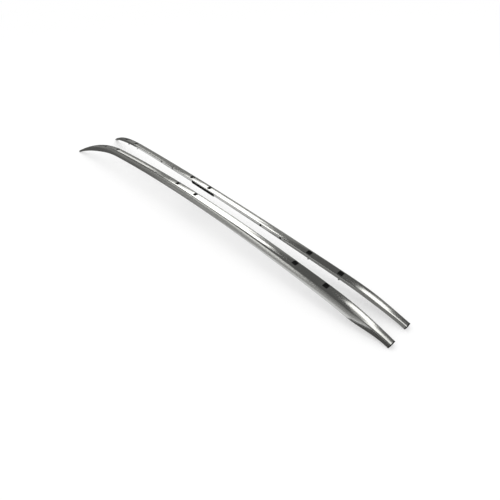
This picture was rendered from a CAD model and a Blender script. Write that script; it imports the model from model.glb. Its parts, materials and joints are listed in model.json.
"""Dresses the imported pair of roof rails: bright rails, black trim, steel fixings, and a plain white studio.

Each piece is modelled once at the origin, in metres, and a copy of it is put at its own place along a rail.
"""

import json
import math

import bmesh
import bpy
from bpy.props import FloatProperty, FloatVectorProperty, IntProperty, PointerProperty
from mathutils import Euler, Matrix, Vector

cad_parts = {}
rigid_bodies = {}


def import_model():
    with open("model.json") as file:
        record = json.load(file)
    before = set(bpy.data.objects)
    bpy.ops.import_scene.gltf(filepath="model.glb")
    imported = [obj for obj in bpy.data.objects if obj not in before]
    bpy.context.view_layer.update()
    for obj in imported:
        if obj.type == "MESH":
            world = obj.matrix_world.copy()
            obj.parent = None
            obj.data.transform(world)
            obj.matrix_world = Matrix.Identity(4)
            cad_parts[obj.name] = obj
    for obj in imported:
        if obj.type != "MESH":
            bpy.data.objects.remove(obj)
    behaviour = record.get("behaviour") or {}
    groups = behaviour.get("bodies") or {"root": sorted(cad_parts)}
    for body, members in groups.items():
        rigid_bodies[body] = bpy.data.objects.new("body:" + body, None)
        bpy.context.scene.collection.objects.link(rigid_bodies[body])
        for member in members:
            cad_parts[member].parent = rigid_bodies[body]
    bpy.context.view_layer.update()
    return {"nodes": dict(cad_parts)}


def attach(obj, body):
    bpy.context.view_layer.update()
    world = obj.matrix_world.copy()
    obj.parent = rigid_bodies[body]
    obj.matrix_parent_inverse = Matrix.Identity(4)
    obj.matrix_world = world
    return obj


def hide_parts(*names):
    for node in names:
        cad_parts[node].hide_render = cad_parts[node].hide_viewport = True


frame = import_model()

bl_info = {
    "name": "Pair of roof rails",
    "version": (1, 0, 0),
    "blender": (4, 5, 0),
    "location": "View3D > Sidebar > Roof rails",
    "description": "Models the rails' finish, their plugs, caps, gaskets and fixings, and the studio",
    "category": "Object",
}

MM = 0.001
SIDES = ("left", "right")
FEET = ("rear", "middle", "front")
ZONES = ("rear", "front")
PAIR = (1, 2)
GASKETED = ("middle", 1)  # this screw goes through the gasket, and has no washer

# The line that a rail follows, from its rear end to its nose, as in the part's source
RAIL_LEN = 2012 * MM
SPAN_LEN = 1514 * MM
ARCH_RISE = 26 * MM
PLAN_BOW = 11.5 * MM
NOSE_START = 1522 * MM
NOSE_DROP = 101 * MM
NOSE_FLARE = 45.5 * MM
REAR_LEN = 214 * MM
REAR_DIP = 21 * MM

# Where the rails stand
REST_TILT = math.radians(3.23044)
TOE_OUT = math.radians(0.315)
MID_X = 1007.52 * MM
REAR_FOOT_Z = -37.068 * MM
REAR_GAP = 84 * MM
MIRROR = Matrix.Diagonal((1, -1, 1, 1))

# Measures of the rail's section, with heights from the top
INNER_W = 13 * MM
FLOOR_Z = -14.5 * MM
WALL = 3 * MM
RECESS = 0.2 * MM
TOP_RADIUS = 90 * MM
SEAL = 3 * MM
INSERT_Z = -7.6 * MM

# Places along the rail
PLUG_FIRST = 232 * MM
PLUG_STEP = 125 * MM
PLUG_PITCH = 662 * MM
INSERT_FIRST = 476 * MM
INSERT_STEP = 98 * MM
INSERT_PITCH = 690 * MM
GASKET_FROM = 851 * MM
GASKET_LEN = 153 * MM


class RailFinish(bpy.types.PropertyGroup):
    """Finish of the two rails."""

    metal: FloatVectorProperty(
        name="Metal",
        description="Colour of the bright anodised metal",
        subtype="COLOR",
        size=3,
        default=(0.55, 0.55, 0.54),
        min=0,
        max=1,
    )
    gloss_spread: FloatProperty(
        name="Roughness",
        description="Mean roughness of the metal",
        subtype="FACTOR",
        default=0.15,
        min=0,
        max=1,
    )
    line_depth: FloatProperty(
        name="Line depth",
        description="Depth of the fine lines that run along the metal",
        unit="LENGTH",
        default=0.02 * MM,
        min=0,
        max=0.2 * MM,
        precision=6,
    )


class TrimFinish(bpy.types.PropertyGroup):
    """Sizes and colours of the plugs, caps, gaskets and fixings."""

    plug_width: FloatProperty(
        name="Plug width",
        description="Width of a plug's head",
        unit="LENGTH",
        default=17.9 * MM,
        min=15 * MM,
        max=17.9 * MM,
        precision=5,
    )
    plug_corner: FloatProperty(
        name="Plug corner",
        description="Radius of the corners of a plug's head",
        unit="LENGTH",
        default=2.5 * MM,
        min=1 * MM,
        max=4 * MM,
        precision=5,
    )
    gasket_grooves: IntProperty(
        name="Gasket grooves",
        description="Number of grooves along the gasket's lip",
        default=3,
        min=1,
        max=4,
    )
    thread_pitch: FloatProperty(
        name="Thread pitch",
        description="Pitch of the screws' thread",
        unit="LENGTH",
        default=1 * MM,
        min=0.7 * MM,
        max=1.5 * MM,
        precision=5,
    )
    plastic: FloatVectorProperty(
        name="Plastic",
        description="Colour of the plugs and end caps",
        subtype="COLOR",
        size=3,
        default=(0.006, 0.006, 0.006),
        min=0,
        max=1,
    )
    rubber: FloatVectorProperty(
        name="Rubber",
        description="Colour of the gaskets and washers",
        subtype="COLOR",
        size=3,
        default=(0.009, 0.009, 0.009),
        min=0,
        max=1,
    )
    zinc: FloatVectorProperty(
        name="Plated steel",
        description="Colour of the screws",
        subtype="COLOR",
        size=3,
        default=(0.55, 0.56, 0.57),
        min=0,
        max=1,
    )
    dark_steel: FloatVectorProperty(
        name="Dark steel",
        description="Colour of the threaded inserts",
        subtype="COLOR",
        size=3,
        default=(0.025, 0.025, 0.025),
        min=0,
        max=1,
    )


class StudioSet(bpy.types.PropertyGroup):
    """Sizes and levels of the studio."""

    floor_size: FloatProperty(
        name="Floor size",
        description="Length of the floor's sides",
        unit="LENGTH",
        default=30,
        min=5,
        max=100,
    )
    floor_colour: FloatVectorProperty(
        name="Floor",
        description="Colour of the floor",
        subtype="COLOR",
        size=3,
        default=(0.6, 0.6, 0.6),
        min=0,
        max=1,
    )
    room_light: FloatProperty(
        name="Room light",
        description="Strength of the even light from all round",
        default=1.0,
        min=0,
        max=2,
    )
    box_height: FloatProperty(
        name="Box height",
        description="Height of the soft boxes above the rails",
        unit="LENGTH",
        default=1.2,
        min=0.5,
        max=4,
    )


# Places and turns


def nose_share(x):
    """How far the nose has bent at a place along the rail, from 0 to 1 at its tip."""
    return (max(x - NOSE_START, 0) / (RAIL_LEN - NOSE_START)) ** 2


def rear_share(x):
    """How far the rear end has dipped at a place along the rail, from 0 to 1 at the cut."""
    return (max(REAR_LEN - x, 0) / REAR_LEN) ** 2


def rail_point(x):
    """The line of the plugs on the rail's top, in the rail's own frame."""
    arch = 4 * (x / SPAN_LEN) * (1 - x / SPAN_LEN)
    return Vector(
        (
            x,
            NOSE_FLARE * nose_share(x) - PLAN_BOW * arch,
            ARCH_RISE * arch - NOSE_DROP * nose_share(x) - REAR_DIP * rear_share(x),
        )
    )


def rail_axes(x):
    """The directions along the rail, outwards and upwards at a place along it."""
    step = 0.5 * MM
    along = (rail_point(x + step) - rail_point(x - step)).normalized()
    upward = (Vector((0, 0, 1)) - along * along.z).normalized()
    return along, upward.cross(along), upward


def standing():
    """Turns the left rail's own frame into its place on the floor."""
    turn = Matrix.Rotation(TOE_OUT, 4, "Z") @ Matrix.Rotation(-REST_TILT, 4, "Y")
    return Matrix.Translation((-MID_X, REAR_GAP / 2, -REAR_FOOT_Z)) @ turn


def place_on_rail(x):
    """A frame on the left rail with X along it, Y outwards and Z up."""
    axes = Matrix(rail_axes(x)).transposed().to_4x4()
    return standing() @ Matrix.Translation(rail_point(x)) @ axes


def plug_place(foot, number):
    return PLUG_FIRST + FEET.index(foot) * PLUG_PITCH + (number - 1) * PLUG_STEP


def insert_place(zone, number):
    return INSERT_FIRST + ZONES.index(zone) * INSERT_PITCH + (number - 1) * INSERT_STEP


# Modelling steps


def select_only(*pieces):
    """Selects these objects and nothing else, in object mode."""
    if bpy.context.mode != "OBJECT":
        bpy.ops.object.mode_set(mode="OBJECT")
    bpy.ops.object.select_all(action="DESELECT")
    for piece in pieces:
        piece.select_set(True)
    bpy.context.view_layer.objects.active = pieces[0]


def edit(piece, mode="FACE"):
    """Opens a piece in edit mode with nothing selected."""
    select_only(piece)
    bpy.ops.object.mode_set(mode="EDIT")
    bpy.ops.mesh.select_mode(type=mode)
    bpy.ops.mesh.select_all(action="DESELECT")


def pick_faces(piece, wanted):
    """Selects the faces that wanted(centre, normal) accepts."""
    shape = bmesh.from_edit_mesh(piece.data)
    bpy.ops.mesh.select_all(action="DESELECT")
    for face in shape.faces:
        if wanted(face.calc_center_median(), face.normal):
            face.select_set(True)
    bmesh.update_edit_mesh(piece.data)


def pick_vertices(piece, wanted):
    """Selects the vertices that wanted(place) accepts."""
    shape = bmesh.from_edit_mesh(piece.data)
    bpy.ops.mesh.select_all(action="DESELECT")
    for vertex in shape.verts:
        vertex.select_set(wanted(vertex.co))
    shape.select_flush(False)
    bmesh.update_edit_mesh(piece.data)


def pick_edges(piece, wanted):
    """Selects the edges that wanted(one end, other end) accepts."""
    shape = bmesh.from_edit_mesh(piece.data)
    bpy.ops.mesh.select_all(action="DESELECT")
    for line in shape.edges:
        if wanted(line.verts[0].co, line.verts[1].co):
            line.select_set(True)
    bmesh.update_edit_mesh(piece.data)


def extrude(shift):
    bpy.ops.mesh.extrude_region_move(TRANSFORM_OT_translate={"value": shift})


def inset(width, depth=0.0):
    bpy.ops.mesh.inset(thickness=width, depth=depth)


def bevel(width, steps=2):
    bpy.ops.mesh.bevel(
        offset=width, offset_type="OFFSET", segments=steps, affect="EDGES", clamp_overlap=True
    )


def cut(place, normal):
    """Cuts the whole piece in edit mode along a plane."""
    bpy.ops.mesh.select_all(action="SELECT")
    bpy.ops.mesh.bisect(plane_co=place, plane_no=normal)


def shade(piece, angle=30):
    """Smooth shading that keeps edges sharper than the angle, in degrees."""
    select_only(piece)
    bpy.ops.object.shade_smooth_by_angle(angle=math.radians(angle))


def finish_with(piece, kind, **settings):
    """Adds a modifier with these settings and applies it."""
    select_only(piece)
    bpy.ops.object.modifier_add(type=kind)
    modifier = piece.modifiers[-1]
    for name, value in settings.items():
        setattr(modifier, name, value)
    bpy.ops.object.modifier_apply(modifier=modifier.name)
    if not piece.data.polygons:
        raise RuntimeError(f"{kind} left nothing of {piece.name}")


def added(name):
    """The primitive that was just added, with its place and size in its mesh."""
    piece = bpy.context.view_layer.objects.active
    piece.name = piece.data.name = name
    bpy.ops.object.transform_apply(location=True, rotation=True, scale=True)
    return piece


def block(name, low, high):
    """A block between two opposite corners."""
    low, high = Vector(low), Vector(high)
    bpy.ops.mesh.primitive_cube_add(size=1, location=(low + high) / 2, scale=high - low)
    return added(name)


def turned(name, outline, sides=48):
    """A round piece about Z: a cone whose top is drawn out from ring to ring, each (radius, height)."""
    (low_r, low_z), (high_r, high_z) = outline[:2]
    middle = (0, 0, (low_z + high_z) / 2)
    bpy.ops.mesh.primitive_cone_add(
        vertices=sides, radius1=low_r, radius2=high_r, depth=high_z - low_z, location=middle
    )
    piece = added(name)
    edit(piece)
    pick_faces(piece, lambda centre, normal: normal.z > 0.9 and centre.z > high_z - 0.01 * MM)
    for (last_r, last_z), (radius, height) in zip(outline[1:], outline[2:]):
        extrude((0, 0, height - last_z))
        share = radius / last_r
        bpy.ops.transform.resize(value=(share, share, 1), center_override=(0, 0, height))
    bpy.ops.object.mode_set(mode="OBJECT")
    return piece


def carve(piece, cutter):
    """Takes the cutter's shape out of the piece."""
    finish_with(piece, "BOOLEAN", object=cutter, operation="DIFFERENCE", solver="EXACT")
    discard(cutter)


def round_edges(piece, width, steps=2, angle=35):
    """Rounds the edges that are sharper than the angle, and shades the piece smooth."""
    finish_with(
        piece, "BEVEL", width=width, segments=steps, limit_method="ANGLE", angle_limit=math.radians(angle)
    )
    shade(piece, angle)
    finish_with(piece, "WEIGHTED_NORMAL", keep_sharp=True)


def copied_node(name, piece_name):
    """A merged copy of a CAD node's mesh, free of its parent."""
    select_only(frame["nodes"][name])
    bpy.ops.object.duplicate()
    piece = bpy.context.view_layer.objects.active
    bpy.ops.object.parent_clear(type="CLEAR_KEEP_TRANSFORM")
    for key in list(piece.keys()):
        del piece[key]
    piece.name = piece.data.name = piece_name
    bpy.ops.mesh.customdata_custom_splitnormals_clear()
    edit(piece, "EDGE")
    bpy.ops.mesh.select_all(action="SELECT")
    bpy.ops.mesh.remove_doubles(threshold=0.002 * MM)
    bpy.ops.mesh.tris_convert_to_quads(face_threshold=math.radians(1), shape_threshold=math.radians(60))
    bpy.ops.object.mode_set(mode="OBJECT")
    return piece


def on_side(side, matrix):
    """The place on that side that mirrors a place on the left, for a piece that is its own mirror image."""
    return matrix if side == "left" else MIRROR @ matrix @ MIRROR


def put_copy(master, name, matrix):
    """A copy of the master with its own mesh, whose place is in its mesh."""
    select_only(master)
    bpy.ops.object.duplicate()
    piece = bpy.context.view_layer.objects.active
    piece.name = piece.data.name = name
    piece.matrix_world = matrix
    bpy.ops.object.transform_apply(location=True, rotation=True, scale=True)
    return piece


def hand_in(piece, cad_node, material):
    """The piece stands for a CAD node, in that finish."""
    piece.data.materials.clear()
    piece.data.materials.append(material)
    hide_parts(cad_node)
    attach(piece, "root")


def discard(*masters):
    """Removes the pieces that were only modelled to be copied or to cut with."""
    for master in masters:
        bpy.data.objects.remove(master)


# Materials

# Noise lies mostly between these values
NOISE_LOW = 0.3
NOISE_HIGH = 0.7
# Roughness varies between these shares of its mean
SMOOTHER = 0.8
ROUGHER = 1.3


def new_material(name):
    """A material with only its surface shader, whose node it also returns."""
    material = bpy.data.materials.new(name)
    material.use_nodes = True
    return material, material.node_tree.nodes["Principled BSDF"]


def node(material, kind, **settings):
    made = material.node_tree.nodes.new(kind)
    for name, value in settings.items():
        setattr(made, name, value)
    return made


def link(material, source, target):
    material.node_tree.links.new(source, target)


def pattern(material, vector, stretch, detail=3.0, roughness=0.5):
    """Noise over the surface, with so many features per metre along each axis."""
    mapping = node(material, "ShaderNodeMapping")
    mapping.inputs["Scale"].default_value = stretch
    noise = node(material, "ShaderNodeTexNoise")
    noise.inputs["Scale"].default_value = 1
    noise.inputs["Detail"].default_value = detail
    noise.inputs["Roughness"].default_value = roughness
    link(material, vector, mapping.inputs["Vector"])
    link(material, mapping.outputs["Vector"], noise.inputs["Vector"])
    return noise.outputs["Fac"]


def spread(material, value, low, high):
    """Spreads a noise value over the range from low to high."""
    ranged = node(material, "ShaderNodeMapRange")
    ranged.inputs["From Min"].default_value = NOISE_LOW
    ranged.inputs["From Max"].default_value = NOISE_HIGH
    ranged.inputs["To Min"].default_value = low
    ranged.inputs["To Max"].default_value = high
    link(material, value, ranged.inputs["Value"])
    return ranged.outputs["Result"]


def tint(material, value, low, high):
    """Turns a noise value into a colour between two others."""
    ramp = node(material, "ShaderNodeValToRGB")
    ramp.color_ramp.elements[0].position = NOISE_LOW
    ramp.color_ramp.elements[0].color = (*low, 1)
    ramp.color_ramp.elements[1].position = NOISE_HIGH
    ramp.color_ramp.elements[1].color = (*high, 1)
    link(material, value, ramp.inputs["Fac"])
    return ramp.outputs["Color"]


def relief(material, value, depth, strength=1.0):
    """A bump of that depth in metres."""
    bump = node(material, "ShaderNodeBump")
    bump.inputs["Strength"].default_value = strength
    bump.inputs["Distance"].default_value = depth
    link(material, value, bump.inputs["Height"])
    return bump.outputs["Normal"]


def darker(colour, share):
    """The colour times a share, which lightens it where the share is over 1."""
    return tuple(channel * share for channel in colour)


def bright_metal(finish):
    """Bright anodised aluminium, with the fine lines of the die and of the polishing along it."""
    material, surface = new_material("bright_anodised_metal")
    along = node(material, "ShaderNodeAttribute", attribute_name="along_rail").outputs["Vector"]
    fine = pattern(material, along, (1.5, 900, 900), detail=2)
    cloud = pattern(material, along, (7, 60, 60), detail=4)
    surface.inputs["Metallic"].default_value = 1
    clouded = tint(material, cloud, darker(finish.metal, 0.92), finish.metal)
    link(material, clouded, surface.inputs["Base Color"])
    low = finish.gloss_spread * SMOOTHER
    high = finish.gloss_spread * ROUGHER
    link(material, spread(material, fine, low, high), surface.inputs["Roughness"])
    link(material, relief(material, fine, finish.line_depth, 0.12), surface.inputs["Normal"])
    return material


def moulded(name, colour, gloss_spread, grain, grain_depth):
    """Moulded plastic or rubber with a fine grain."""
    material, surface = new_material(name)
    surface.inputs["Specular IOR Level"].default_value = 0.04
    place = node(material, "ShaderNodeTexCoord").outputs["Object"]
    fine = pattern(material, place, (grain, grain, grain), detail=3)
    cloud = pattern(material, place, (90, 90, 90), detail=4)
    clouded = tint(material, cloud, darker(colour, 0.7), darker(colour, 1.3))
    link(material, clouded, surface.inputs["Base Color"])
    uneven = spread(material, cloud, gloss_spread * 0.85, gloss_spread * 1.15)
    link(material, uneven, surface.inputs["Roughness"])
    link(material, relief(material, fine, grain_depth), surface.inputs["Normal"])
    return material


def steel(name, colour, gloss_spread):
    """Turned and plated steel, faintly clouded."""
    material, surface = new_material(name)
    place = node(material, "ShaderNodeTexCoord").outputs["Object"]
    fine = pattern(material, place, (2500, 2500, 4000), detail=2)
    cloud = pattern(material, place, (300, 300, 300), detail=4)
    surface.inputs["Metallic"].default_value = 1
    clouded = tint(material, cloud, darker(colour, 0.8), colour)
    link(material, clouded, surface.inputs["Base Color"])
    uneven = spread(material, fine, gloss_spread * SMOOTHER, gloss_spread * ROUGHER)
    link(material, uneven, surface.inputs["Roughness"])
    link(material, relief(material, fine, 0.01 * MM, 0.6), surface.inputs["Normal"])
    return material


def once(name, make):
    """The material of that name, made the first time that it is asked for."""
    return bpy.data.materials.get(name) or make()


def plastic_material(trim):
    name = "black_moulded_plastic"
    return once(name, lambda: moulded(name, trim.plastic, 0.5, 5000, 0.03 * MM))


def rubber_material(trim):
    name = "black_soft_rubber"
    return once(name, lambda: moulded(name, trim.rubber, 0.75, 3000, 0.05 * MM))


def zinc_material(trim):
    name = "plated_steel"
    return once(name, lambda: steel(name, trim.zinc, 0.32))


def insert_material(trim):
    name = "darkened_steel"
    return once(name, lambda: steel(name, trim.dark_steel, 0.38))


def note_run(piece, side):
    """Stores how far along, out and up each point of a rail lies, for the metal's lines to follow."""
    home = standing().inverted()
    if side == "right":
        home = home @ MIRROR
    values = []
    for vertex in piece.data.vertices:
        point = home @ vertex.co
        x = point.x
        for _ in range(3):
            along, outward, upward = rail_axes(x)
            x += (point - rail_point(x)).dot(along)
        off = point - rail_point(x)
        values += [x, off.dot(outward), off.dot(upward)]
    run = piece.data.attributes.new("along_rail", "FLOAT_VECTOR", "POINT")
    run.data.foreach_set("vector", values)


class ROOFRAILS_OT_rails(bpy.types.Operator):
    """Models the two rails from the frame's, with a smooth bright surface"""

    bl_idname = "roof_rails.model_rails"
    bl_label = "Model the rails"

    def execute(self, context):
        finish = context.scene.rail_finish
        metal = once("bright_anodised_metal", lambda: bright_metal(finish))
        for side in SIDES:
            rail = copied_node(side + "_rail", side + "_bright_rail")
            shade(rail, 28)
            finish_with(rail, "WEIGHTED_NORMAL", keep_sharp=True, weight=60)
            note_run(rail, side)
            hand_in(rail, side + "_rail", metal)
        return {"FINISHED"}


class ROOFRAILS_OT_plugs(bpy.types.Operator):
    """Models a square plug with a hollow skirt and two catches, and puts it in each opening"""

    bl_idname = "roof_rails.model_plugs"
    bl_label = "Model the plugs"

    HEAD = 1.4 * MM
    SKIRT = 3.4 * MM
    SKIRT_W = 14.8 * MM
    SKIRT_WALL = 1.2 * MM
    # Cuts along the head, in mm across it, so that its top can follow the rail's rounded top
    HEAD_ROWS = (-5, -2.5, 0, 2.5, 5)
    RIM_W = 0.35 * MM
    RIM_DROP = 0.3 * MM
    BORDER_W = 1.5 * MM
    PANEL_SLOPE = 0.25 * MM
    PANEL_DEPTH = 0.2 * MM
    CATCH_TOP = -3.4 * MM
    CATCH_H = 0.8 * MM
    CATCH_FROM = 6.8 * MM
    CATCH_TO = 8 * MM
    CATCH_HALF_W = 3 * MM

    def execute(self, context):
        trim = context.scene.trim_finish
        master = self.head(trim.plug_width / 2, trim.plug_corner)
        self.add_skirt(master, trim.plug_width)
        round_edges(master, 0.15 * MM)
        for way in (-1, 1):
            self.add_catch(master, way)
        for side in SIDES:
            for foot in FEET:
                for number in PAIR:
                    place = on_side(side, place_on_rail(plug_place(foot, number)))
                    plug = put_copy(master, f"{side}_{foot}_square_plug_{number}", place)
                    hand_in(plug, f"{side}_{foot}_plug_{number}", plastic_material(trim))
        discard(master)
        return {"FINISHED"}

    def head(self, half, corner):
        """A rounded square whose top is crowned across the rail and has a sunken panel."""
        plug = block("plug_master", (-half, -half, -self.HEAD), (half, half, 0))
        edit(plug, "EDGE")
        pick_edges(plug, lambda a, b: abs(a.z - b.z) > 0.5 * MM)
        bevel(corner, 6)
        for y in self.HEAD_ROWS:
            cut((0, y * MM, 0), (0, 1, 0))
        bpy.ops.mesh.select_mode(type="VERT")
        shape = bmesh.from_edit_mesh(plug.data)
        heights = sorted({round(vertex.co.y, 6) for vertex in shape.verts})
        for y in heights:
            pick_vertices(plug, lambda place, y=y: place.z > -0.1 * MM and abs(place.y - y) < 0.001 * MM)
            drop = TOP_RADIUS - math.sqrt(TOP_RADIUS**2 - y * y)
            bpy.ops.transform.translate(value=(0, 0, -drop))
        bpy.ops.mesh.select_mode(type="FACE")
        pick_faces(plug, lambda centre, normal: normal.z > 0.9)
        inset(self.RIM_W, -self.RIM_DROP)
        inset(self.BORDER_W)
        inset(self.PANEL_SLOPE, -self.PANEL_DEPTH)
        bpy.ops.object.mode_set(mode="OBJECT")
        return plug

    def add_skirt(self, plug, width):
        """A square hollow skirt under the head."""
        edit(plug)
        pick_faces(plug, lambda centre, normal: normal.z < -0.9 and centre.z < -0.9 * self.HEAD)
        inset((width - self.SKIRT_W) / 2)
        extrude((0, 0, -self.SKIRT))
        inset(self.SKIRT_WALL)
        extrude((0, 0, self.SKIRT))
        bpy.ops.object.mode_set(mode="OBJECT")

    def add_catch(self, plug, way):
        """A wedge under the top wall, on the skirt's side that faces along the rail."""
        low_x, high_x = sorted((way * self.CATCH_FROM, way * self.CATCH_TO))
        low = (low_x, -self.CATCH_HALF_W, self.CATCH_TOP - self.CATCH_H)
        catch = block("catch", low, (high_x, self.CATCH_HALF_W, self.CATCH_TOP))
        edit(catch, "EDGE")
        lower = self.CATCH_TOP - 0.7 * MM
        pick_edges(catch, lambda a, b: max(a.z, b.z) < lower and min(abs(a.x), abs(b.x)) > 7.5 * MM)
        bevel(0.5 * MM, 1)
        bpy.ops.object.mode_set(mode="OBJECT")
        select_only(plug, catch)
        bpy.ops.object.join()


class ROOFRAILS_OT_end_caps(bpy.types.Operator):
    """Models the end caps from the frame's, with rounded edges"""

    bl_idname = "roof_rails.model_end_caps"
    bl_label = "Model the end caps"

    def execute(self, context):
        trim = context.scene.trim_finish
        for side in SIDES:
            cap = copied_node(side + "_end_cap", side + "_rear_cap")
            round_edges(cap, 0.4 * MM, 3, 50)
            hand_in(cap, side + "_end_cap", plastic_material(trim))
        return {"FINISHED"}


class ROOFRAILS_OT_gaskets(bpy.types.Operator):
    """Models the angled gasket of the middle foot, with grooves along its lip"""

    bl_idname = "roof_rails.model_gaskets"
    bl_label = "Model the gaskets"

    LIP_FACE = -12.6 * MM
    OUTER_FACE = -14.8 * MM
    INNER_END = 11 * MM
    LIP_TOP = -6.5 * MM
    BASE_LOW = -17 * MM
    BASE_TOP = -14 * MM
    GROOVE_W = 0.9 * MM
    GROOVE_DEPTH = 0.4 * MM

    def execute(self, context):
        trim = context.scene.trim_finish
        master = self.angle()
        self.add_grooves(master, trim.gasket_grooves)
        self.add_hole(master)
        round_edges(master, 0.25 * MM)
        place = place_on_rail(GASKET_FROM + GASKET_LEN / 2)
        for side in SIDES:
            gasket = put_copy(master, side + "_foot_gasket", place if side == "left" else MIRROR @ place)
            if side == "right":
                edit(gasket)
                bpy.ops.mesh.select_all(action="SELECT")
                bpy.ops.mesh.normals_make_consistent(inside=False)
                bpy.ops.object.mode_set(mode="OBJECT")
            hand_in(gasket, side + "_gasket", rubber_material(trim))
        discard(master)
        return {"FINISHED"}

    def angle(self):
        """The base, with the lip drawn up from its edge."""
        half = GASKET_LEN / 2
        gasket = block(
            "gasket_master", (-half, self.OUTER_FACE, self.BASE_LOW), (half, self.INNER_END, self.BASE_TOP)
        )
        edit(gasket)
        cut((0, self.LIP_FACE, 0), (0, 1, 0))
        pick_faces(gasket, lambda centre, normal: normal.z > 0.9 and centre.y < self.LIP_FACE)
        extrude((0, 0, self.LIP_TOP - self.BASE_TOP))
        bpy.ops.object.mode_set(mode="OBJECT")
        return gasket

    def add_grooves(self, gasket, count):
        """Grooves along the outer face of the lip."""
        edit(gasket)
        pitch = (self.LIP_TOP - self.BASE_LOW) / (count + 1)
        middles = [self.BASE_LOW + pitch * (i + 1) for i in range(count)]
        for z in middles:
            cut((0, 0, z - self.GROOVE_W / 2), (0, 0, 1))
            cut((0, 0, z + self.GROOVE_W / 2), (0, 0, 1))
        pick_faces(
            gasket,
            lambda centre, normal: normal.y < -0.9 and any(abs(centre.z - z) < 0.1 * MM for z in middles),
        )
        extrude((0, self.GROOVE_DEPTH, 0))
        bpy.ops.object.mode_set(mode="OBJECT")

    def add_hole(self, gasket):
        """The hole for the screw that goes through the base."""
        away = plug_place("middle", 1) - GASKET_FROM - GASKET_LEN / 2
        bpy.ops.mesh.primitive_cylinder_add(
            vertices=48, radius=3.3 * MM, depth=20 * MM, location=(away, 0, self.BASE_LOW)
        )
        carve(gasket, added("hole_cutter"))


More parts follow.
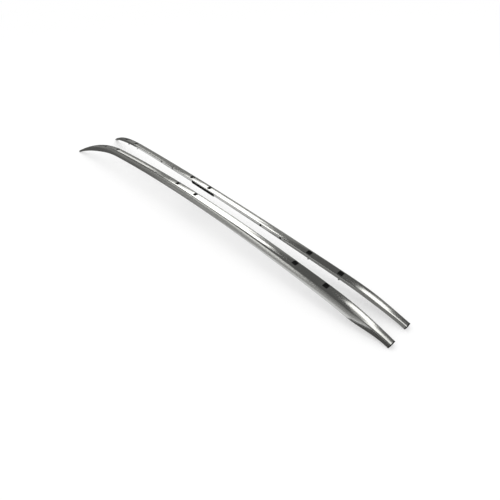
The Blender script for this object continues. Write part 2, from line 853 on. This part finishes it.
class ROOFRAILS_OT_fixings(bpy.types.Operator):
    """Models a threaded screw and a sealing washer, and puts them under the plugs"""

    bl_idname = "roof_rails.model_fixings"
    bl_label = "Model the screws and washers"

    FLANGE_Z = FLOOR_Z + WALL - RECESS
    SEAL_Z = FLOOR_Z + RECESS - SEAL
    THREAD_LEN = 13 * MM
    CORE = 2.46 * MM
    CREST = 3 * MM
    ROOT_HALF = 0.45  # half the ridge's width at its root, as a share of the pitch
    CREST_HALF = 0.06  # and at its crest
    HEX = 4 * MM
    # Radius of the flange and of the button head, and height above the foot of the flange, in mm
    HEAD = (
        (6.2, 0),
        (6.5, 0.2),
        (6.5, 0.8),
        (6.1, 1.1),
        (5, 1.2),
        (4.85, 1.7),
        (4.5, 2.3),
        (3.95, 2.85),
        (3.3, 3.2),
        (2.7, 3.4),
    )
    SHANK_R = 2.8 * MM
    WASHER_R = 7.5 * MM
    WASHER_HOLE_R = 2.9 * MM
    RIM_GROOVE = (1.3 * MM, 2.2 * MM)  # its lower and upper edge above the washer's foot
    RIM_GROOVE_DEPTH = 0.5 * MM

    def execute(self, context):
        trim = context.scene.trim_finish
        screw = self.screw(trim.thread_pitch)
        washer = self.washer()
        for side in SIDES:
            for foot in FEET:
                for number in PAIR:
                    place = on_side(side, place_on_rail(plug_place(foot, number)))
                    piece = put_copy(screw, f"{side}_{foot}_flange_screw_{number}", place)
                    hand_in(piece, f"{side}_{foot}_screw_{number}", zinc_material(trim))
                    if (foot, number) == GASKETED:
                        continue
                    piece = put_copy(washer, f"{side}_{foot}_seal_{number}", place)
                    hand_in(piece, f"{side}_{foot}_washer_{number}", rubber_material(trim))
        discard(screw, washer)
        return {"FINISHED"}

    def screw(self, pitch):
        """A button head on a flange, with a hexagon socket, a plain shank and a helical thread."""
        foot_z, shank, end = self.FLANGE_Z, self.SEAL_Z, self.SEAL_Z - self.THREAD_LEN
        outline = [(2.2 * MM, end - 0.8 * MM), (self.CORE, end), (self.CORE, shank - 0.3 * MM)]
        outline += [(self.SHANK_R, shank), (self.SHANK_R, foot_z)]
        outline += [(radius * MM, foot_z + height * MM) for radius, height in self.HEAD]
        screw = turned("screw_master", outline)
        bpy.ops.mesh.primitive_cylinder_add(
            vertices=6, radius=self.HEX / math.sqrt(3), depth=4 * MM, location=(0, 0, foot_z + 3.2 * MM)
        )
        carve(screw, added("socket_cutter"))
        shade(screw, 32)
        thread = self.thread(pitch, end, shank)
        select_only(screw, thread)
        bpy.ops.object.join()
        return screw

    def thread(self, pitch, low, high):
        """One ridge that winds round the core: a triangle swept along a helix, and closed at both ends."""
        inside = self.CORE - 0.1 * MM
        root, crest = self.ROOT_HALF * pitch, self.CREST_HALF * pitch
        corners = [(inside, 0, -root), (self.CREST, 0, -crest), (self.CREST, 0, crest), (inside, 0, root)]
        mesh = bpy.data.meshes.new("thread")
        mesh.from_pydata(corners, [(0, 1), (1, 2), (2, 3), (3, 0)], [])
        ridge = bpy.data.objects.new("thread", mesh)
        bpy.context.scene.collection.objects.link(ridge)
        turns = int((high - low - pitch) / pitch)
        finish_with(ridge, "SCREW", screw_offset=pitch, iterations=turns, steps=32, render_steps=32)
        edit(ridge, "EDGE")
        bpy.ops.mesh.select_all(action="SELECT")
        bpy.ops.mesh.fill_holes(sides=4)
        bpy.ops.mesh.select_all(action="SELECT")
        bpy.ops.mesh.normals_make_consistent(inside=False)
        bpy.ops.transform.translate(value=(0, 0, low + pitch / 2))
        bpy.ops.object.mode_set(mode="OBJECT")
        shade(ridge, 32)
        return ridge

    def washer(self):
        """A soft ring with a groove round its rim."""
        low, high = self.SEAL_Z, self.SEAL_Z + SEAL
        outline = [(6.7 * MM, low), (self.WASHER_R, low + 0.5 * MM), (self.WASHER_R, high)]
        washer = turned("washer_master", outline)
        bpy.ops.mesh.primitive_cylinder_add(
            vertices=48, radius=self.WASHER_HOLE_R, depth=10 * MM, location=(0, 0, low)
        )
        carve(washer, added("hole_cutter"))
        edit(washer)
        for height in self.RIM_GROOVE:
            cut((0, 0, low + height), (0, 0, 1))
        middle = low + sum(self.RIM_GROOVE) / 2
        pick_faces(
            washer,
            lambda centre, normal: abs(centre.z - middle) < 0.3 * MM and centre.xy.length > 5 * MM,
        )
        bpy.ops.mesh.extrude_region_shrink_fatten(
            TRANSFORM_OT_shrink_fatten={"value": -self.RIM_GROOVE_DEPTH}
        )
        bpy.ops.object.mode_set(mode="OBJECT")
        round_edges(washer, 0.15 * MM)
        return washer


class ROOFRAILS_OT_inserts(bpy.types.Operator):
    """Models a threaded rivet insert, and puts it in each hole of the inner sides"""

    bl_idname = "roof_rails.model_inserts"
    bl_label = "Model the inserts"

    FLANGE_R = 4.75 * MM
    BODY_R = 3.5 * MM
    COLLAR_R = 3.8 * MM
    BORE_R = 2.1 * MM
    FLANGE_T = 0.7 * MM
    COUNTERSINK = 0.5 * MM
    GROOVE_PITCH = 0.8 * MM
    GROOVE_DEPTH = 0.25 * MM
    LENGTH = 10 * MM

    def execute(self, context):
        trim = context.scene.trim_finish
        master = self.insert()
        turn = Matrix.Translation((0, RECESS - INNER_W, INSERT_Z)) @ Matrix.Rotation(math.radians(-90), 4, "X")
        for side in SIDES:
            for zone in ZONES:
                for number in PAIR:
                    place = on_side(side, place_on_rail(insert_place(zone, number)) @ turn)
                    piece = put_copy(master, f"{side}_{zone}_rivet_insert_{number}", place)
                    hand_in(piece, f"{side}_{zone}_insert_{number}", insert_material(trim))
        discard(master)
        return {"FINISHED"}

    def insert(self):
        """A flange, a body with a swaged collar, and a bore with a countersink and thread grooves."""
        wall = WALL - RECESS + 0.05 * MM
        outline = [(self.FLANGE_R, -self.FLANGE_T), (self.FLANGE_R, 0), (self.BODY_R, 0), (self.BODY_R, wall)]
        outline += [(self.COLLAR_R, wall), (self.COLLAR_R, wall + 1.9 * MM), (self.BODY_R, wall + 2.5 * MM)]
        outline += [(self.BODY_R, self.LENGTH)]
        piece = turned("insert_master", outline, 40)
        round_edges(piece, 0.12 * MM)
        bore = [(self.BORE_R + self.COUNTERSINK, -0.75 * MM), (self.BORE_R, -0.2 * MM)]
        z = -0.2 * MM
        while z < self.LENGTH + 0.5 * MM:
            bore.append((self.BORE_R, z + 0.2 * MM))
            bore.append((self.BORE_R + self.GROOVE_DEPTH, z + 0.5 * MM))
            z += self.GROOVE_PITCH
            bore.append((self.BORE_R, z))
        carve(piece, turned("bore_cutter", bore, 40))
        shade(piece, 32)
        return piece


class ROOFRAILS_OT_stage(bpy.types.Operator):
    """Sets the floor, the light, the soft boxes and the camera"""

    bl_idname = "roof_rails.set_stage"
    bl_label = "Set the stage"

    # Panels that only gloss shows: name, one corner, the opposite corner, strength.
    # A height of 1 stands for the height of the soft boxes. A panel that is flat along X or Y stands upright.
    PANELS = (
        ("rear_box", (-1.36, -1.15, 1), (-1.15, 0.5, 1), 2.0),
        ("rear_grey_flag", (-1.15, -1.15, 1), (-0.92, 0.5, 1), 0.4),
        ("rear_far_box", (-1.25, -1.15, 0.99), (-0.8, -0.62, 0.99), 2.4),
        ("rear_end_flag", (-1.85, -1.3, 0.99), (-1.25, -0.8, 0.99), 0.15),
        ("rear_side_box", (-1.85, -1.03, 1), (-1.36, 0.3, 1), 1.6),
        ("rear_flag", (-6.0, -8, 1), (-1.85, 8, 1), 0.12),
        ("rear_far_flag", (-1.85, -8, 1), (-1.36, -1.03, 1), 0.12),
        ("rear_near_flag", (-1.85, 0.3, 1), (-1.36, 8, 1), 0.16),
        ("rear_far_side_flag", (-1.36, -8, 1), (-0.92, -1.15, 1), 0.3),
        ("rear_near_side_flag", (-1.36, 0.5, 1), (-0.92, 8, 1), 0.3),
        ("middle_flag", (-0.92, -8, 1), (0.05, 8, 1), 0.14),
        ("main_box", (0.05, -0.7, 1), (1.45, 0.05, 1), 3.0),
        ("main_near_box", (0.4, 0.05, 1), (0.95, 0.45, 1), 2.4),
        ("main_near_rear_flag", (0.05, 0.05, 1), (0.4, 0.45, 1), 0.2),
        ("main_near_front_flag", (0.95, 0.05, 1), (1.45, 0.45, 1), 0.3),
        ("main_far_box", (0.4, -1.2, 1), (1.45, -0.7, 1), 2.6),
        ("main_corner_flag", (0.05, -1.2, 1), (0.4, -0.7, 1), 0.3),
        ("main_far_flag", (0.05, -8, 1), (1.45, -1.2, 1), 0.35),
        ("main_near_flag", (0.05, 0.45, 1), (1.45, 8, 1), 0.2),
        ("front_flag", (1.45, -8, 1), (1.95, 8, 1), 0.14),
        ("front_box", (1.95, -0.8, 1), (3.4, -0.5, 1), 1.7),
        ("front_near_flag", (1.95, -0.5, 1), (3.4, 1.8, 1), 0.18),
        ("front_side_box", (1.95, 1.8, 1), (3.4, 8, 1), 1.7),
        ("front_far_flag", (1.95, -8, 1), (3.4, -0.8, 1), 0.3),
        ("end_flag", (3.4, -8, 1), (14, 8, 1), 0.3),
        ("streak_box", (2.66, 3.4, 0.99), (3.73, 4.3, 0.99), 2.2),
        ("near_wall", (-6, 8, 0), (10.2, 8, 1), 0.45),
        ("near_end_wall", (10.2, 8, 0), (14, 8, 1), 0.18),
        ("end_wall", (14, -8, 0), (14, 8, 1), 0.12),
        ("far_wall", (-6, -8, 0), (14, -8, 1), 0.5),
        ("front_card", (0.8, -8, 0.001), (14, 8, 0.001), 0.14),
        ("rear_card", (-1.15, 0.06, 0.001), (-0.86, 0.4, 0.001), 0.12),
        ("middle_card", (-1.05, -0.035, 0.001), (0.5, 0.06, 0.001), 0.3),
    )
    PANEL_COLOUR = (1, 1, 0.97, 1)
    WHITE = (1, 1, 1, 1)

    LENS_MM = 23.894
    SENSOR_MM = 36
    CAMERA_AT = (-1.15221, 0.66034, 0.78899)
    CAMERA_TURN = (50.39676, 2.20042, -132.90363)  # in degrees

    LAMP_AT = (0.5, -1.5, 4)
    LAMP_SIZE = 3
    LAMP_WATTS = 20

    def execute(self, context):
        studio = context.scene.studio_set
        self.set_room(context.scene, studio)
        self.set_floor(studio)
        self.set_panels(studio)
        self.set_camera(context.scene)
        self.set_lamp(context.scene)
        context.scene.view_settings.view_transform = "Standard"
        return {"FINISHED"}

    def set_room(self, scene, studio):
        """A world that lights evenly, and shows white in front of the camera and in gloss."""
        room = bpy.data.worlds.new("studio_room")
        room.use_nodes = True
        scene.world = room
        nodes, links = room.node_tree.nodes, room.node_tree.links
        even = nodes["Background"]
        even.inputs["Color"].default_value = self.WHITE
        even.inputs["Strength"].default_value = studio.room_light
        white = nodes.new("ShaderNodeBackground")
        white.inputs["Color"].default_value = self.WHITE
        white.inputs["Strength"].default_value = 1
        mix = nodes.new("ShaderNodeMixShader")
        links.new(self.seen(room.node_tree), mix.inputs["Fac"])
        links.new(even.outputs["Background"], mix.inputs[1])
        links.new(white.outputs["Background"], mix.inputs[2])
        links.new(mix.outputs["Shader"], nodes["World Output"].inputs["Surface"])

    def seen(self, tree):
        """1 for a ray from the camera, or by way of gloss or glass, and 0 for the rest."""
        path = tree.nodes.new("ShaderNodeLightPath")
        total = path.outputs["Is Camera Ray"]
        for name in ("Is Glossy Ray", "Is Transmission Ray"):
            larger = tree.nodes.new("ShaderNodeMath")
            larger.operation = "MAXIMUM"
            tree.links.new(total, larger.inputs[0])
            tree.links.new(path.outputs[name], larger.inputs[1])
            total = larger.outputs["Value"]
        return total

    def set_floor(self, studio):
        """A plain floor that shows white, but for the rails' shadow."""
        bpy.ops.mesh.primitive_plane_add(size=studio.floor_size, location=(0, 0, 0))
        floor = bpy.context.view_layer.objects.active
        floor.name = "studio_floor"
        material, surface = new_material("studio_floor")
        surface.inputs["Base Color"].default_value = (*studio.floor_colour, 1)
        surface.inputs["Roughness"].default_value = 1
        surface.inputs["Specular IOR Level"].default_value = 0
        glow = node(material, "ShaderNodeEmission")
        lift = node(material, "ShaderNodeMath", operation="MULTIPLY")
        lift.inputs[1].default_value = 1 - studio.floor_colour[0]
        link(material, self.seen(material.node_tree), lift.inputs[0])
        link(material, lift.outputs["Value"], glow.inputs["Strength"])
        both = node(material, "ShaderNodeAddShader")
        link(material, surface.outputs["BSDF"], both.inputs[0])
        link(material, glow.outputs["Emission"], both.inputs[1])
        output = material.node_tree.nodes["Material Output"]
        link(material, both.outputs["Shader"], output.inputs["Surface"])
        floor.data.materials.append(material)

    def set_panels(self, studio):
        """The panels, which light nothing and throw no shadow."""
        for name, low, high, strength in self.PANELS:
            (x0, y0, z0), (x1, y1, z1) = low, high
            z0, z1 = z0 * studio.box_height, z1 * studio.box_height
            bpy.ops.mesh.primitive_plane_add(size=1, location=((x0 + x1) / 2, (y0 + y1) / 2, (z0 + z1) / 2))
            panel = bpy.context.view_layer.objects.active
            panel.name = name
            if y0 == y1:
                panel.rotation_euler.x = math.radians(90)
                panel.scale = (x1 - x0, z1 - z0, 1)
            elif x0 == x1:
                panel.rotation_euler.y = math.radians(90)
                panel.scale = (z1 - z0, y1 - y0, 1)
            else:
                panel.scale = (x1 - x0, y1 - y0, 1)
            material = bpy.data.materials.new(name)
            material.use_nodes = True
            glow = node(material, "ShaderNodeEmission")
            glow.inputs["Color"].default_value = self.PANEL_COLOUR
            glow.inputs["Strength"].default_value = strength
            output = material.node_tree.nodes["Material Output"]
            link(material, glow.outputs["Emission"], output.inputs["Surface"])
            panel.data.materials.append(material)
            panel.visible_camera = False
            panel.visible_diffuse = False
            panel.visible_transmission = False
            panel.visible_shadow = False

    def set_camera(self, scene):
        """The photograph's point of view."""
        lens = bpy.data.cameras.new("camera")
        lens.sensor_width = self.SENSOR_MM
        lens.lens = self.LENS_MM
        lens.clip_start = 0.01
        lens.clip_end = 100
        camera = bpy.data.objects.new("camera", lens)
        camera.location = self.CAMERA_AT
        camera.rotation_euler = Euler([math.radians(angle) for angle in self.CAMERA_TURN])
        scene.collection.objects.link(camera)
        scene.camera = camera

    def set_lamp(self, scene):
        """A large soft lamp that throws the shadow, and does not show in gloss."""
        lamp = bpy.data.lights.new("key_lamp", "AREA")
        lamp.size = self.LAMP_SIZE
        lamp.energy = self.LAMP_WATTS
        key = bpy.data.objects.new("key_lamp", lamp)
        key.location = self.LAMP_AT
        key.rotation_euler = (-key.location).to_track_quat("-Z", "Y").to_euler()
        key.visible_glossy = False
        scene.collection.objects.link(key)


class ROOFRAILS_PT_sidebar(bpy.types.Panel):
    """Lists the steps that model the pair of roof rails"""

    bl_idname = "ROOFRAILS_PT_sidebar"
    bl_label = "Pair of roof rails"
    bl_space_type = "VIEW_3D"
    bl_region_type = "UI"
    bl_category = "Roof rails"

    def draw(self, context):
        column = self.layout.column()
        for settings in (context.scene.rail_finish, context.scene.trim_finish, context.scene.studio_set):
            for name in settings.__annotations__:
                column.prop(settings, name)
        for operator in OPERATORS:
            column.operator(operator.bl_idname)


SETTINGS = {"rail_finish": RailFinish, "trim_finish": TrimFinish, "studio_set": StudioSet}
OPERATORS = (
    ROOFRAILS_OT_stage,
    ROOFRAILS_OT_rails,
    ROOFRAILS_OT_plugs,
    ROOFRAILS_OT_end_caps,
    ROOFRAILS_OT_gaskets,
    ROOFRAILS_OT_fixings,
    ROOFRAILS_OT_inserts,
)


def register():
    for name, group in SETTINGS.items():
        bpy.utils.register_class(group)
        setattr(bpy.types.Scene, name, PointerProperty(type=group))
    for operator in OPERATORS:
        bpy.utils.register_class(operator)
    bpy.utils.register_class(ROOFRAILS_PT_sidebar)


def unregister():
    bpy.utils.unregister_class(ROOFRAILS_PT_sidebar)
    for operator in reversed(OPERATORS):
        bpy.utils.unregister_class(operator)
    for name, group in SETTINGS.items():
        delattr(bpy.types.Scene, name)
        bpy.utils.unregister_class(group)


def main():
    register()
    bpy.ops.roof_rails.set_stage()
    bpy.ops.roof_rails.model_rails()
    bpy.ops.roof_rails.model_plugs()
    bpy.ops.roof_rails.model_end_caps()
    bpy.ops.roof_rails.model_gaskets()
    bpy.ops.roof_rails.model_fixings()
    bpy.ops.roof_rails.model_inserts()


if __name__ == "__main__":
    main()
